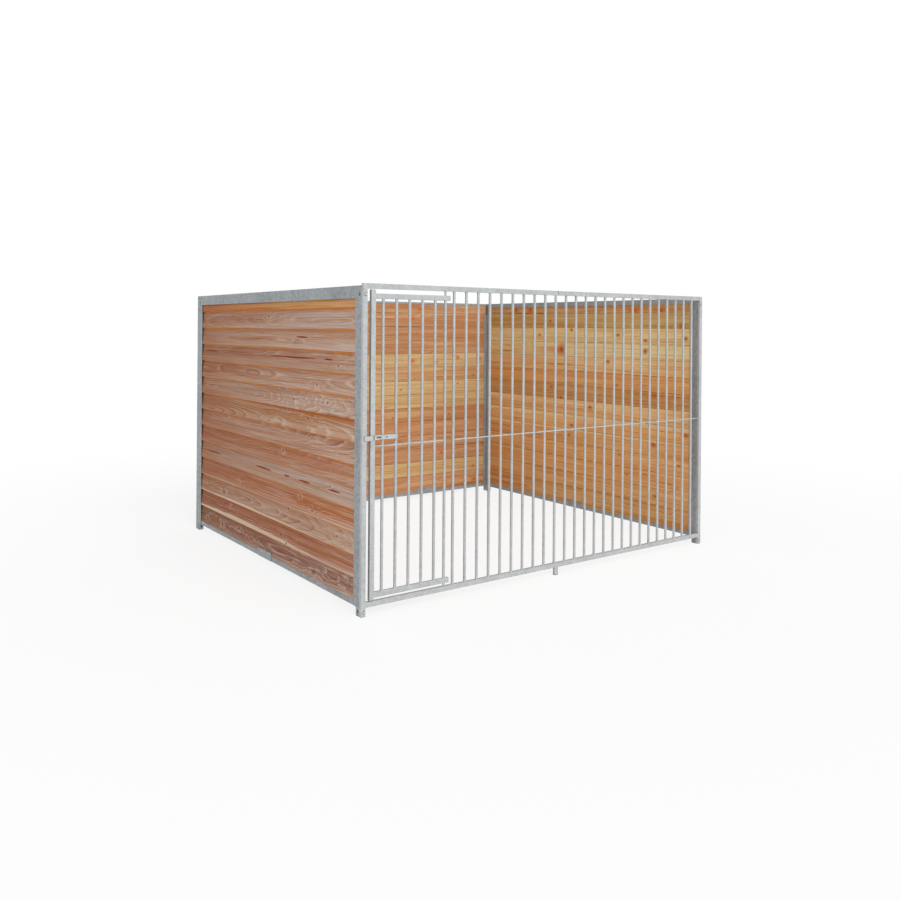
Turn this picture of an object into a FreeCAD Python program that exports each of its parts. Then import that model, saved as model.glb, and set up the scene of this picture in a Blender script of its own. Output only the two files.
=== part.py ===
import FreeCAD, Part
import math
import os

# Open-topped dog run: a barred steel front with a swinging door, and three sides of
# galvanised frames filled with overlapping weatherboards. Millimetres, +Z up.
# The origin is on the floor, under the middle of the whole run. -Y is the front.

V = FreeCAD.Vector

# Overall sizes
RUN_WIDTH = 3000.0
SIDE_LENGTH = 2500.0
PANEL_HEIGHT = 1858.0
FRONT_RISE = 12.0

# Front frame tube
FRAME_FACE = 30.0
FRAME_DEPTH = 20.0
FRAME_WALL = 1.5
FOOT_HEIGHT = 50.0

# Bars, and the tie bars welded between them
BAR_DIAMETER = 17.2
BAR_PITCH = 93.4
TIE_SIZE = 8.0
TIE_HEIGHT = 950.0

# Door
DOOR_SIDE_GAP = 25.0
DOOR_TOP_GAP = 26.0
DOOR_BOTTOM_GAP = 18.0
STILE_END_GAP = 4.0
DOOR_BAR_COUNT = 5
DOOR_BAR_PITCH = 91.2
DOOR_FIRST_BAR = 55.0
DOOR_LAST_BAR = 75.2
DOOR_RAIL_TAIL = 32.0
HINGE_TO_FIRST_BAR = 65.0

# Hinge
HINGE_DIAMETER = 17.2
PIN_DIAMETER = 14.0
PIN_REACH = 20.0
PIN_END_GAP = 0.3
PIN_CLEARANCE = 0.1

# Latch
LATCH_RISE = 50.0
PLATE_HEIGHT = 26.0
PLATE_THICKNESS = 5.0
PLATE_LAP = 7.0
PLATE_END_LAP = 3.0
LUG_DROP = 3.0
LUG_LAP_STILE = 16.0
LUG_LAP_POST = 17.0
LUG_RELIEF = 0.5
ROD_DIAMETER = 12.0
ROD_CLEARANCE = 0.2
ROD_TIP = 13.0
ROD_COVER = 9.5
BOLT_TRAVEL = 28.0
STUD_DIAMETER = 8.0
STUD_DEPTH = 8.0
STUD_CLEARANCE = 0.1
STUD_PROUD = 4.0
STUD_BAR_GAP = 3.0
STUD_PLAY = 0.5
STRIKE_PLAY = 1.0
PADLOCK_HOLE = 10.0
PADLOCK_OFFSET = 22.0

# Wood panel frames
POST = 35.0
POST_WALL = 2.0
SHEET = 2.5
CHANNEL_REACH = 30.0
CAP_OUTER = 72.0
SIDE_CAP_INNER = 42.0
BACK_CAP_INNER = 20.0
NOTCH_DROP = 110.0
RAIL_BOTTOM = 48.0
RAIL_HEIGHT = 30.0
RAIL_WALL = 2.0
CLIP_LENGTH = 220.0
CLIP_RISE = 25.0

# Weatherboards
BOARD_PITCH = 127.5
BOARD_LIP = 29.0
BOARD_TOP = 14.0
REBATE_HEIGHT = 20.0
REBATE_PLAY = 0.5
BOARD_END_GAP = 12.0
BOARD_TOP_GAP = 3.0

# Fixings
FIXING_LOW = 26.0
FIXING_DROP = 50.0
SLOT_WIDTH = 9.0
SLOT_LENGTH = 20.0
BOLT_DIAMETER = 8.0
HEX_ACROSS_FLATS = 13.0
HEAD_HEIGHT = 5.3
NUT_HEIGHT = 6.5

# Places worked out from the sizes
FRONT_PROUD = max(HEAD_HEIGHT, PLATE_THICKNESS + STUD_PROUD)
BACK_PROUD = HEAD_HEIGHT
DEPTH = FRAME_DEPTH + SIDE_LENGTH + POST
X_LEFT = -RUN_WIDTH / 2
X_RIGHT = RUN_WIDTH / 2
Y_FRONT = -(DEPTH + BACK_PROUD - FRONT_PROUD) / 2
Y_SIDES = Y_FRONT + FRAME_DEPTH
Y_BACK = Y_SIDES + SIDE_LENGTH
Y_BARS = Y_FRONT + FRAME_DEPTH / 2
Y_BAR_FACES = Y_BARS - BAR_DIAMETER / 2

FRONT_HEIGHT = PANEL_HEIGHT + FRONT_RISE
FIXING_HEIGHTS = (FIXING_LOW, PANEL_HEIGHT - FIXING_DROP)
RAIL_TOP = RAIL_BOTTOM + RAIL_HEIGHT
CHANNEL_TOP = PANEL_HEIGHT - CAP_OUTER

OPENING_BOTTOM = FOOT_HEIGHT + FRAME_FACE
OPENING_TOP = FRONT_HEIGHT - FRAME_FACE
POST_INNER_LEFT = X_LEFT + FRAME_FACE
POST_INNER_RIGHT = X_RIGHT - FRAME_FACE

STILE_LEFT = POST_INNER_LEFT + DOOR_SIDE_GAP
STILE_RIGHT = STILE_LEFT + FRAME_FACE
DOOR_BARS_X = [STILE_RIGHT + DOOR_FIRST_BAR + DOOR_BAR_PITCH * i for i in range(DOOR_BAR_COUNT)]
HINGE_X = DOOR_BARS_X[-1] + DOOR_LAST_BAR
DOOR_RAIL_END = HINGE_X + DOOR_RAIL_TAIL
DOOR_RAIL_LOW = OPENING_BOTTOM + DOOR_BOTTOM_GAP
DOOR_RAIL_HIGH = OPENING_TOP - DOOR_TOP_GAP - FRAME_FACE
DOOR_BARS_LOW = DOOR_RAIL_LOW + FRAME_FACE
DOOR_BARS_HIGH = DOOR_RAIL_HIGH

FIRST_BAR_X = HINGE_X + HINGE_TO_FIRST_BAR
BARS_SPAN = POST_INNER_RIGHT + BAR_DIAMETER / 2 - FIRST_BAR_X
BAR_COUNT = round(BARS_SPAN / BAR_PITCH)
BARS_X = [FIRST_BAR_X + BARS_SPAN / BAR_COUNT * i for i in range(BAR_COUNT)]

LATCH_HEIGHT = TIE_HEIGHT + LATCH_RISE
PADLOCK_X = DOOR_BARS_X[0] + PADLOCK_OFFSET
STUD_X = DOOR_BARS_X[0] - BAR_DIAMETER / 2 - STUD_BAR_GAP - STUD_DIAMETER / 2


def block(x0, x1, y0, y1, z0, z1):
    return Part.makeBox(x1 - x0, y1 - y0, z1 - z0, V(x0, y0, z0))


def rod(diameter, start, end):
    way = end - start
    return Part.makeCylinder(diameter / 2, way.Length, start, way)


def hollow(outer, inner):
    return outer.cut(inner)


def drilled(shape, cutters):
    """The shape with every cutter taken out of it."""
    for cutter in cutters:
        shape = shape.cut(cutter)
    return shape


def square_slot(width, length, start, end, along):
    """A cutter with square ends that runs from start to end, with its long way along a vector."""
    way = end - start
    half = along * (length / 2)
    side = way.cross(along).normalize() * (width / 2)
    corners = [start - half - side, start + half - side, start + half + side, start - half + side]
    return Part.Face(Part.makePolygon(corners + corners[:1])).extrude(way)


def round_slot(width, length, start, end, along):
    """A cutter with round ends that runs from start to end, with its long way along a vector."""
    half = along * ((length - width) / 2)
    ends = [rod(width, start + offset, end + offset) for offset in (half, half * -1)]
    return square_slot(width, length - width, start, end, along).multiFuse(ends).removeSplitter()


def fixing_slots(x, y0, y1, heights):
    """Upright slots for bolts along Y."""
    return [square_slot(SLOT_WIDTH, SLOT_LENGTH, V(x, y0, z), V(x, y1, z), V(0, 0, 1))
            for z in heights]


def hexagon(point, way, height):
    """A six-sided prism that stands on a point and rises along a unit vector."""
    radius = HEX_ACROSS_FLATS / 2 / math.cos(math.pi / 6)
    first = V(0, 0, 1) * radius
    turn = FreeCAD.Rotation(way, 60)
    corners = [first]
    for _ in range(5):
        corners.append(turn.multVec(corners[-1]))
    outline = [point + corner for corner in corners]
    return Part.Face(Part.makePolygon(outline + outline[:1])).extrude(way * height)


def hex_bolt(seat, way, length):
    """A bolt whose head sits on the seat and whose shank runs along a unit vector."""
    head = hexagon(seat - way * HEAD_HEIGHT, way, HEAD_HEIGHT)
    return head.fuse(rod(BOLT_DIAMETER, seat, seat + way * length)).removeSplitter()


def hex_nut(seat, way):
    """A nut with the bolt's end in it."""
    return hexagon(seat, way, NUT_HEIGHT)


def save(name, shapes):
    """Write one node: a single solid, or a group of separate solids."""
    shape = shapes[0] if len(shapes) == 1 else Part.makeCompound(shapes)
    shape.exportStep("parts/%s.step" % name)


# Front frame


def frame_upright(x0, z0, z1, cutters=()):
    """An upright of frame tube, closed at both ends."""
    outer = block(x0, x0 + FRAME_FACE, Y_FRONT, Y_FRONT + FRAME_DEPTH, z0, z1)
    inner = block(x0 + FRAME_WALL, x0 + FRAME_FACE - FRAME_WALL,
                  Y_FRONT + FRAME_WALL, Y_FRONT + FRAME_DEPTH - FRAME_WALL,
                  z0 + FRAME_WALL, z1 - FRAME_WALL)
    return drilled(hollow(outer, inner), cutters)


def frame_rail(x0, x1, z0, end_wall=0.0, cutters=()):
    """A level length of frame tube, open where it is welded to an upright."""
    outer = block(x0, x1, Y_FRONT, Y_FRONT + FRAME_DEPTH, z0, z0 + FRAME_FACE)
    inner = block(x0, x1 - end_wall,
                  Y_FRONT + FRAME_WALL, Y_FRONT + FRAME_DEPTH - FRAME_WALL,
                  z0 + FRAME_WALL, z0 + FRAME_FACE - FRAME_WALL)
    return drilled(hollow(outer, inner), cutters)


def upright_bar(diameter, x, z0, z1):
    return rod(diameter, V(x, Y_BARS, z0), V(x, Y_BARS, z1))


def level_rod(diameter, x0, x1, z):
    return rod(diameter, V(x0, Y_BARS, z), V(x1, Y_BARS, z))


def pin_bore(z0, z1):
    """A cutter round the hinge axis for a pivot pin."""
    return rod(PIN_DIAMETER + 2 * PIN_CLEARANCE, V(HINGE_X, Y_BARS, z0), V(HINGE_X, Y_BARS, z1))


def tie_bars(starts, ends):
    """Short square lengths that brace the bars at mid-height."""
    return [block(x0, x1, Y_BARS - TIE_SIZE / 2, Y_BARS + TIE_SIZE / 2,
                  TIE_HEIGHT - TIE_SIZE / 2, TIE_HEIGHT + TIE_SIZE / 2)
            for x0, x1 in zip(starts, ends)]


def corner_x(side):
    """The line of the corner bolts: the middle of the side panels' posts."""
    return side * (RUN_WIDTH - POST) / 2


def front_slots(side):
    return fixing_slots(corner_x(side), Y_FRONT, Y_SIDES, FIXING_HEIGHTS)


def make_front():
    strike = level_rod(ROD_DIAMETER + 2 * STRIKE_PLAY, POST_INNER_LEFT - FRAME_WALL,
                       POST_INNER_LEFT, LATCH_HEIGHT)
    save("front_left_post", [frame_upright(X_LEFT, 0, FRONT_HEIGHT, front_slots(-1) + [strike])])
    save("front_right_post", [frame_upright(POST_INNER_RIGHT, 0, FRONT_HEIGHT, front_slots(1))])
    top_bore = pin_bore(OPENING_TOP, OPENING_TOP + FRAME_WALL)
    bottom_bore = pin_bore(OPENING_BOTTOM - FRAME_WALL, OPENING_BOTTOM)
    save("front_top_rail", [frame_rail(POST_INNER_LEFT, POST_INNER_RIGHT, OPENING_TOP,
                                       cutters=[top_bore])])
    save("front_bottom_rail", [frame_rail(POST_INNER_LEFT, POST_INNER_RIGHT, FOOT_HEIGHT,
                                          cutters=[bottom_bore])])
    save("front_centre_foot", [frame_upright(-FRAME_FACE / 2, 0, FOOT_HEIGHT)])
    save("front_bars", [upright_bar(BAR_DIAMETER, x, OPENING_BOTTOM, OPENING_TOP) for x in BARS_X])
    radius = BAR_DIAMETER / 2
    save("front_tie_bars", tie_bars([x + radius for x in BARS_X],
                                    [x - radius for x in BARS_X[1:]] + [POST_INNER_RIGHT]))


# Door


def latch_bore():
    return level_rod(ROD_DIAMETER + 2 * ROD_CLEARANCE, STILE_LEFT,
                     DOOR_BARS_X[0] + BAR_DIAMETER / 2, LATCH_HEIGHT)


def make_door():
    stile = frame_upright(STILE_LEFT, OPENING_BOTTOM + STILE_END_GAP, OPENING_TOP - STILE_END_GAP,
                          [latch_bore()])
    save("door_stile", [stile])
    low_bore = pin_bore(DOOR_RAIL_LOW, DOOR_RAIL_LOW + FRAME_WALL)
    high_bore = pin_bore(DOOR_RAIL_HIGH + FRAME_FACE - FRAME_WALL, DOOR_RAIL_HIGH + FRAME_FACE)
    for name, z, bore in (("door_bottom_rail", DOOR_RAIL_LOW, low_bore),
                          ("door_top_rail", DOOR_RAIL_HIGH, high_bore)):
        save(name, [frame_rail(STILE_RIGHT, DOOR_RAIL_END, z, FRAME_WALL, [bore])])
    bars = [upright_bar(BAR_DIAMETER, x, DOOR_BARS_LOW, DOOR_BARS_HIGH) for x in DOOR_BARS_X]
    save("door_bars", [bars[0].cut(latch_bore())] + bars[1:])
    radius = BAR_DIAMETER / 2
    save("door_tie_bars", tie_bars([STILE_RIGHT] + [x + radius for x in DOOR_BARS_X],
                                   [x - radius for x in DOOR_BARS_X] + [HINGE_X - HINGE_DIAMETER / 2]))
    save("hinge_bar", [upright_bar(HINGE_DIAMETER, HINGE_X, DOOR_BARS_LOW, DOOR_BARS_HIGH)])
    pin_foot = FOOT_HEIGHT + FRAME_WALL + PIN_END_GAP
    pin_head = OPENING_TOP + PIN_REACH
    save("hinge_pin_bottom", [upright_bar(PIN_DIAMETER, HINGE_X, pin_foot, DOOR_BARS_LOW - FRAME_WALL)])
    save("hinge_pin_top", [upright_bar(PIN_DIAMETER, HINGE_X, DOOR_BARS_HIGH + FRAME_WALL, pin_head)])


def flat_bar(x0, x1, z, back=Y_FRONT):
    """A flat bar on the front of the door, centred on a height."""
    return block(x0, x1, Y_FRONT - PLATE_THICKNESS, back, z - PLATE_HEIGHT / 2, z + PLATE_HEIGHT / 2)


def make_latch():
    ahead = V(0, Y_FRONT - PLATE_THICKNESS - Y_BARS, 0)
    stud_slot_middle = V(STUD_X - BOLT_TRAVEL / 2, Y_BARS, LATCH_HEIGHT)
    stud_slot = round_slot(STUD_DIAMETER + 2 * STUD_PLAY, STUD_DIAMETER + 2 * STUD_PLAY + BOLT_TRAVEL,
                           stud_slot_middle, stud_slot_middle + ahead, V(1, 0, 0))
    padlock = V(PADLOCK_X, Y_BARS, LATCH_HEIGHT)
    on_stile = flat_bar(STILE_RIGHT - PLATE_LAP, STILE_RIGHT, LATCH_HEIGHT)
    on_bars = flat_bar(STILE_RIGHT, DOOR_BARS_X[1] + PLATE_END_LAP, LATCH_HEIGHT, Y_BAR_FACES)
    plate = on_stile.fuse(on_bars).removeSplitter()
    save("latch_plate", [drilled(plate, [stud_slot, rod(PADLOCK_HOLE, padlock, padlock + ahead)])])

    lug_height = LATCH_HEIGHT - LUG_DROP
    lug = flat_bar(POST_INNER_LEFT - LUG_LAP_POST, STILE_LEFT + LUG_LAP_STILE, lug_height)
    relief = block(POST_INNER_LEFT - LUG_LAP_POST, STILE_LEFT, Y_FRONT - LUG_RELIEF, Y_FRONT,
                   lug_height - PLATE_HEIGHT / 2, lug_height + PLATE_HEIGHT / 2)
    save("stop_lug", [lug.cut(relief)])

    stud_root = V(STUD_X, Y_BARS - ROD_DIAMETER / 2 + STUD_DEPTH, LATCH_HEIGHT)
    stud_end = V(STUD_X, Y_FRONT - PLATE_THICKNESS - STUD_PROUD, LATCH_HEIGHT)
    stud_bore = rod(STUD_DIAMETER + 2 * STUD_CLEARANCE, stud_root, stud_end)
    bolt_rod = level_rod(ROD_DIAMETER, STILE_LEFT - ROD_TIP, PADLOCK_X + PADLOCK_HOLE / 2 + ROD_COVER,
                         LATCH_HEIGHT)
    save("latch_rod", [bolt_rod.cut(stud_bore)])
    save("latch_stud", [rod(STUD_DIAMETER, stud_root, stud_end)])


# Wood panels, made in a frame of their own: X along the panel, Y from the inside out


def panel_post(x0, cutters):
    """A square post that runs down as a leg. Its foot is closed, and the top cap covers its head."""
    outer = block(x0, x0 + POST, 0, POST, 0, PANEL_HEIGHT - SHEET)
    inner = block(x0 + POST_WALL, x0 + POST - POST_WALL, POST_WALL, POST - POST_WALL,
                  POST_WALL, PANEL_HEIGHT - SHEET)
    return drilled(hollow(outer, inner), cutters)


def edge_slots(x0, x1, heights):
    """Upright slots for bolts along the panel."""
    return [square_slot(SLOT_WIDTH, SLOT_LENGTH, V(x0, POST / 2, z), V(x1, POST / 2, z), V(0, 0, 1))
            for z in heights]


def face_slots(x0):
    """Round-ended slots in a post's outer face, free for a neighbouring panel's bolts."""
    x = x0 + POST / 2
    return [round_slot(SLOT_WIDTH, SLOT_LENGTH, V(x, POST - POST_WALL, z), V(x, POST, z), V(0, 0, 1))
            for z in FIXING_HEIGHTS]


def board_channel(face, way):
    """A U-section on a post's face that holds the board ends, with its inner flange cut short."""
    def span(near, far, y0, y1, z0, z1):
        ends = sorted((face + way * near, face + way * far))
        return block(ends[0], ends[1], y0, y1, z0, z1)
    outer = span(0, CHANNEL_REACH, 0, POST, RAIL_BOTTOM, CHANNEL_TOP)
    inner = span(SHEET, CHANNEL_REACH, SHEET, POST - SHEET, RAIL_BOTTOM, CHANNEL_TOP)
    notch = span(SHEET, CHANNEL_REACH, 0, SHEET, PANEL_HEIGHT - NOTCH_DROP, CHANNEL_TOP)
    return drilled(outer, [inner, notch])


def top_cap(length, inner_drop):
    web = block(0, length, 0, POST, PANEL_HEIGHT - SHEET, PANEL_HEIGHT)
    inner = block(POST, length - POST, 0, SHEET, PANEL_HEIGHT - inner_drop, PANEL_HEIGHT - SHEET)
    outer = block(POST, length - POST, POST - SHEET, POST, PANEL_HEIGHT - CAP_OUTER,
                  PANEL_HEIGHT - SHEET)
    return web.multiFuse([inner, outer]).removeSplitter()


def bottom_rail(length):
    x0 = POST + SHEET
    x1 = length - POST - SHEET
    outer = block(x0, x1, SHEET, POST - SHEET, RAIL_BOTTOM, RAIL_TOP)
    inner = block(x0, x1, SHEET + RAIL_WALL, POST - SHEET - RAIL_WALL,
                  RAIL_BOTTOM + RAIL_WALL, RAIL_TOP - RAIL_WALL)
    return hollow(outer, inner)


def clip_plates(length):
    x0 = (length - CLIP_LENGTH) / 2
    return [block(x0, x0 + CLIP_LENGTH, y0, y0 + SHEET, RAIL_BOTTOM, RAIL_TOP + CLIP_RISE)
            for y0 in (0, POST - SHEET)]


def board_thickness(height):
    """Thickness of a weatherboard at a height above its lip: it tapers evenly to the top."""
    return BOARD_LIP - (BOARD_LIP - BOARD_TOP) * height / (BOARD_PITCH + REBATE_HEIGHT)


def board(length, base, height, rebated):
    """One weatherboard. The rebate behind its lip sits over the top of the board below."""
    y0 = (POST - BOARD_LIP) / 2
    x0 = POST + BOARD_END_GAP
    foot = [(0, 0)]
    if rebated:
        depth = board_thickness(BOARD_PITCH) + REBATE_PLAY
        foot = [(0, REBATE_HEIGHT), (depth, REBATE_HEIGHT), (depth, 0)]
    outline = foot + [(BOARD_LIP, 0), (board_thickness(height), height), (0, height)]
    corners = [V(x0, y0 + y, base + z) for y, z in outline]
    section = Part.Face(Part.makePolygon(corners + corners[:1]))
    return section.extrude(V(length - 2 * x0, 0, 0))


def weatherboards(length):
    room = PANEL_HEIGHT - SHEET - BOARD_TOP_GAP - RAIL_TOP
    count = math.ceil((room - REBATE_HEIGHT) / BOARD_PITCH)
    boards = []
    for i in range(count):
        height = min(BOARD_PITCH + REBATE_HEIGHT, room - BOARD_PITCH * i)
        boards.append(board(length, RAIL_TOP + BOARD_PITCH * i, height, i > 0))
    return boards


def make_panel(name, length, corner, angle, ends, cutters, cap_inner):
    """One wood panel, turned about Z and moved to its corner. Ends name its two posts."""
    pieces = {
        "%s_%s_post" % (name, ends[0]): [panel_post(0, cutters[0])],
        "%s_%s_post" % (name, ends[1]): [panel_post(length - POST, cutters[1])],
        "%s_%s_channel" % (name, ends[0]): [board_channel(POST, 1)],
        "%s_%s_channel" % (name, ends[1]): [board_channel(length - POST, -1)],
        "%s_top_cap" % name: [top_cap(length, cap_inner)],
        "%s_bottom_rail" % name: [bottom_rail(length)],
        "%s_clips" % name: clip_plates(length),
        "%s_boards" % name: weatherboards(length),
    }
    for node, shapes in pieces.items():
        for shape in shapes:
            shape.rotate(V(0, 0, 0), V(0, 0, 1), angle)
            shape.translate(corner)
        save(node, shapes)


def side_cutters():
    """Slots of a side panel's two posts: for the corner bolts, and in the outer faces."""
    far = SIDE_LENGTH - POST
    first = edge_slots(0, POST_WALL, FIXING_HEIGHTS)
    first += edge_slots(POST - POST_WALL, POST, [FIXING_LOW])
    last = edge_slots(SIDE_LENGTH - POST_WALL, SIDE_LENGTH, FIXING_HEIGHTS)
    last += edge_slots(far, far + POST_WALL, [FIXING_LOW])
    return first + face_slots(0), last + face_slots(far)


def make_panels():
    make_panel("left", SIDE_LENGTH, V(X_LEFT + POST, Y_SIDES, 0), 90, ("front", "rear"),
               side_cutters(), SIDE_CAP_INNER)
    make_panel("right", SIDE_LENGTH, V(X_RIGHT - POST, Y_BACK, 0), -90, ("rear", "front"),
               side_cutters(), SIDE_CAP_INNER)
    half = RUN_WIDTH / 2
    left_corner = fixing_slots(POST / 2, 0, POST, FIXING_HEIGHTS)
    left_joint = edge_slots(half - POST, half, FIXING_HEIGHTS)
    right_joint = edge_slots(0, POST, FIXING_HEIGHTS)
    right_corner = fixing_slots(half - POST / 2, 0, POST, FIXING_HEIGHTS)
    make_panel("back_left", half, V(X_LEFT, Y_BACK, 0), 0, ("outer", "inner"),
               (left_corner, left_joint), BACK_CAP_INNER)
    make_panel("back_right", half, V(0, Y_BACK, 0), 0, ("inner", "outer"),
               (right_joint, right_corner), BACK_CAP_INNER)


# Fixings


def make_fixings():
    inward = V(0, 1, 0)
    forward = V(0, -1, 0)
    corners = [(corner_x(side), z) for side in (-1, 1) for z in FIXING_HEIGHTS]
    save("front_corner_bolts", [hex_bolt(V(x, Y_FRONT, z), inward, FRAME_DEPTH + POST_WALL)
                                for x, z in corners])
    save("back_corner_bolts", [hex_bolt(V(x, Y_BACK + POST, z), forward, POST + POST_WALL)
                               for x, z in corners])
    nuts = [hex_nut(V(x, Y_SIDES + POST_WALL, z), inward) for x, z in corners]
    nuts += [hex_nut(V(x, Y_BACK - POST_WALL, z), forward) for x, z in corners]
    save("weld_nuts", nuts)

    across = V(1, 0, 0)
    y_joint = Y_BACK + POST / 2
    save("back_joint_bolts", [hex_bolt(V(-POST, y_joint, z), across, 2 * POST) for z in FIXING_HEIGHTS])
    save("back_joint_nuts", [hex_nut(V(POST, y_joint, z), across) for z in FIXING_HEIGHTS])


os.makedirs("parts", exist_ok=True)
make_front()
make_door()
make_latch()
make_panels()
make_fixings()
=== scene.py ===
import math
import random
from typing import NamedTuple

import bmesh
import bpy
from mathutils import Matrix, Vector, noise


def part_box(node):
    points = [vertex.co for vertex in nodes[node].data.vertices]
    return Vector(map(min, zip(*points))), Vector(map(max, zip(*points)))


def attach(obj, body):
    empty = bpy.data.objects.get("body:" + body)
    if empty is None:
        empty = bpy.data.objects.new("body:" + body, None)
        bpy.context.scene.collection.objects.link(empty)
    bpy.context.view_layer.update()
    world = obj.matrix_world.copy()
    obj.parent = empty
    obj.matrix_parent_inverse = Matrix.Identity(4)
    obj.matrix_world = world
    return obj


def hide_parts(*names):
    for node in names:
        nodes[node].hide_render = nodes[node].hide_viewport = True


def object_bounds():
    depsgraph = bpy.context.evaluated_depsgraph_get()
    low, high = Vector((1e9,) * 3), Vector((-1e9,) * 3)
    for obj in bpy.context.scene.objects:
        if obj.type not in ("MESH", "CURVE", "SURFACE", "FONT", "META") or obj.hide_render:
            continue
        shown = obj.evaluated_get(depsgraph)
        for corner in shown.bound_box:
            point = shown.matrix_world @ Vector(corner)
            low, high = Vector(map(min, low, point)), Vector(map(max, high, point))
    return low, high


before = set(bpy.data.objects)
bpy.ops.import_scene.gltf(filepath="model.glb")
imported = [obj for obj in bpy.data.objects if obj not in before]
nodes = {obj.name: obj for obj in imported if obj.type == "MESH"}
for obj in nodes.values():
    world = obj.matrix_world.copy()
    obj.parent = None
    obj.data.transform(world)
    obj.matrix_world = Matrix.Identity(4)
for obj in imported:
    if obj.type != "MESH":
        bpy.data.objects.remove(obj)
cad_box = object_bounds()

# Camera, as fitted to the photograph: its place and reach in metres, angles in degrees, the frame in pixels
# and the sensor in millimetres.
IMAGE_SIZE = 900
FOCAL_PIXELS = 858.1
PRINCIPAL_PIXEL = (420.6, 326.7)
CAMERA_PLACE = (-3.9853, -5.3817, 1.6278)
CAMERA_YAW = 35.027
CAMERA_ROLL = 0.424
CAMERA_REACH = 200.0
SENSOR_WIDTH = 36.0

# Light and floor.
WHITE = (1.0, 1.0, 1.0, 1.0)
WORLD_LIGHT = 0.62
SUN_STRENGTH = 1.75
SUN_ANGLE = 50.0
SUN_FROM = (-0.1, -1.0, 0.75)
FLOOR_SIZE = 60.0
FLOOR_COLOUR = (0.9, 0.9, 0.9, 1.0)

# Weatherboards, in metres: the section that the CAD boards have, and its rounding.
BOARD_PITCH = 0.1275
BOARD_THICKNESS = 0.029
BOARD_TOP_THICKNESS = 0.014
REBATE_HEIGHT = 0.020
REBATE_DEPTH = 0.0165
BOARD_HEIGHT = BOARD_PITCH + REBATE_HEIGHT
LIP_RADIUS = 0.0022
JOINT_RADIUS = 0.003
ROUNDING_STEPS = (0.0, 0.5, 1.0)
FACE_STEPS = (0.3, 0.6)

# How a board strays from straight along its length: stations, bow of the lip, waves, and noise per metre.
STATION_STEP = 0.05
LEAST_STATIONS = 12
STATION_DIGITS = 4
LIP_BOW = 0.0024
BOW_RANGE = (0.2, 1.0)
BOW_DRIFT = (0.75, 0.5)
LIP_WAVE = 0.0011
END_BLUNTNESS = 0.5
DRIFT_SCALE = 2.3
DRIFT_SPREAD = 90.0
BOW_LANE = 1.0
WAVE_LANE = 5.0
WAVE_SCALE = 2.0

# Cracks: closed and open width, depth, how far the line strays, steps along it, and how blunt its ends are.
# A groove counts as cracked wood once it is open by CRACK_SEEN. The last three are a row's part of a crack.
CRACK_REST = 0.0008
CRACK_WIDTH = 0.010
CRACK_DEPTH = 0.006
CRACK_STRAY = 0.004
CRACK_LANE = 9.0
CRACK_SCALE = 1.5
CRACK_STEPS = 6
CRACK_BLUNTNESS = 0.6
CRACK_SEEN = 0.2
UPPER_LIP = 1
LOWER_LIP = -1
GROOVE = 2

# Steel, in metres.
FIXED_BARS = 25
DOOR_BARS = 5
EDGE_RADIUS = 0.0009
EDGE_SEGMENTS = 2
TUBE_RADIUS = 0.0028
TUBE_SEGMENTS = 4
TUBE_EDGE_LENGTH = 0.04
PLATE_EDGE_LENGTH = 0.045
SHARP_ANGLE = math.radians(42)
SMOOTH_ANGLE = math.radians(38)
WELD_DISTANCE = 0.00002
NORMAL_WEIGHT = 100
ROUND_NODES = ("front_bars", "door_bars", "hinge_bar", "latch_stud", "latch_rod")
PLATE_NODES = ("latch_plate", "stop_lug")
TUBE_NODES = ("_post", "_rail", "_foot", "_stile")
REPLACED_NODES = ("_boards", "_tie_bars")

# Tie rods and welds, in metres. Stations lie off a bar's surface. A bead's profile has shares of its height
# and spread, a seam's has shares of its width and height. Roots are sunk in the steel.
RING_STEPS = 20
ROD_RADIUS = 0.004
ROD_FILLET = 0.0018
ROD_FILLET_LENGTH = 0.004
ROD_STATIONS = (-0.004, -0.0005, 0.001, 0.0025, 0.005)
BEAD_SPREAD = 0.0025
BEAD_HEIGHT = 0.003
BEAD_ROOT = 0.001
BEAD_PROUD = 0.0002
BEAD_PROFILE = ((0.0, 1.0), (0.35, 0.55), (0.7, 0.2), (1.0, 0.02))
SEAM_WIDTH = 0.004
SEAM_PROUD = 0.0005
SEAM_ROOT = 0.0004
SEAM_PROFILE = ((-0.5, 0.4), (0.0, 1.0), (0.5, 0.4))


def srgb(red, green, blue):
    """A colour given as 0 to 255 on screen, as linear light with full alpha."""
    def linear(value):
        share = value / 255.0
        return share / 12.92 if share <= 0.04045 else ((share + 0.055) / 1.055) ** 2.4
    return (linear(red), linear(green), linear(blue), 1.0)


TONES = {
    "rose": srgb(181, 145, 127),
    "salmon": srgb(176, 129, 103),
    "amber": srgb(180, 130, 92),
    "russet": srgb(180, 114, 76),
    "tawny": srgb(178, 104, 54),
    "chestnut": srgb(160, 90, 46),
    "umber": srgb(149, 99, 78),
    "gold": srgb(196, 130, 30),
    "orange": srgb(196, 142, 101),
    "straw": srgb(212, 183, 136),
    "tan": srgb(203, 160, 114),
    # Apricot, cream, honey, brown, olive and rust, the inside tones of the side walls, are painted lighter:
    # painted light for the right wall's inner face, which the sun leaves in shade.
    "apricot": srgb(246, 194, 130),
    "cream": srgb(240, 216, 160),
    "honey": srgb(243, 202, 147),
    "brown": srgb(229, 172, 110),
    "olive": srgb(205, 168, 105),
    "rust": srgb(210, 155, 93),
}
EARLYWOOD = srgb(208, 179, 158)
PALE_GRAIN = srgb(234, 202, 152)
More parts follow.
